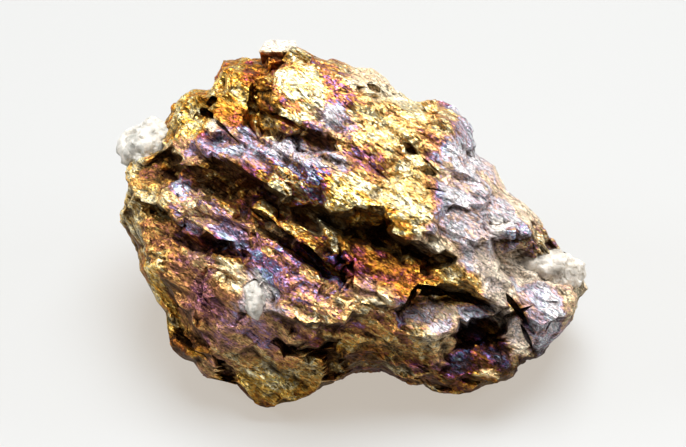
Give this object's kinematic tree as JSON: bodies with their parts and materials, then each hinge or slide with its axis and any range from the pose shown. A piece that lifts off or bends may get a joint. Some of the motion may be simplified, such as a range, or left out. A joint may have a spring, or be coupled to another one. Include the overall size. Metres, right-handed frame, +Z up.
{
  "type": "chalcopyrite specimen",
  "caption": "Rough hand specimen of massive chalcopyrite with peacock tarnish and grains of milky quartz, resting on a flat seat.",
  "frame": {"origin": "under the middle of the specimen's box, on the flat seat of its underside", "axes": "+Z up out of the seat, +X along the specimen's longest extent with the thin tip at +X, the best face leans back and looks towards -Y and up"},
  "size_m": [0.0602, 0.0414, 0.035],
  "materials": {
    "chalcopyrite": "metallic brass yellow with brown, purple and blue peacock tarnish",
    "quartz": "milky, greasy lustre"
  },
  "bodies": {
    "root": {"chalcopyrite_ore": "chalcopyrite", "quartz_lump": "quartz", "quartz_saddle": "quartz", "quartz_grain": "quartz"}
  },
  "joints": []
}
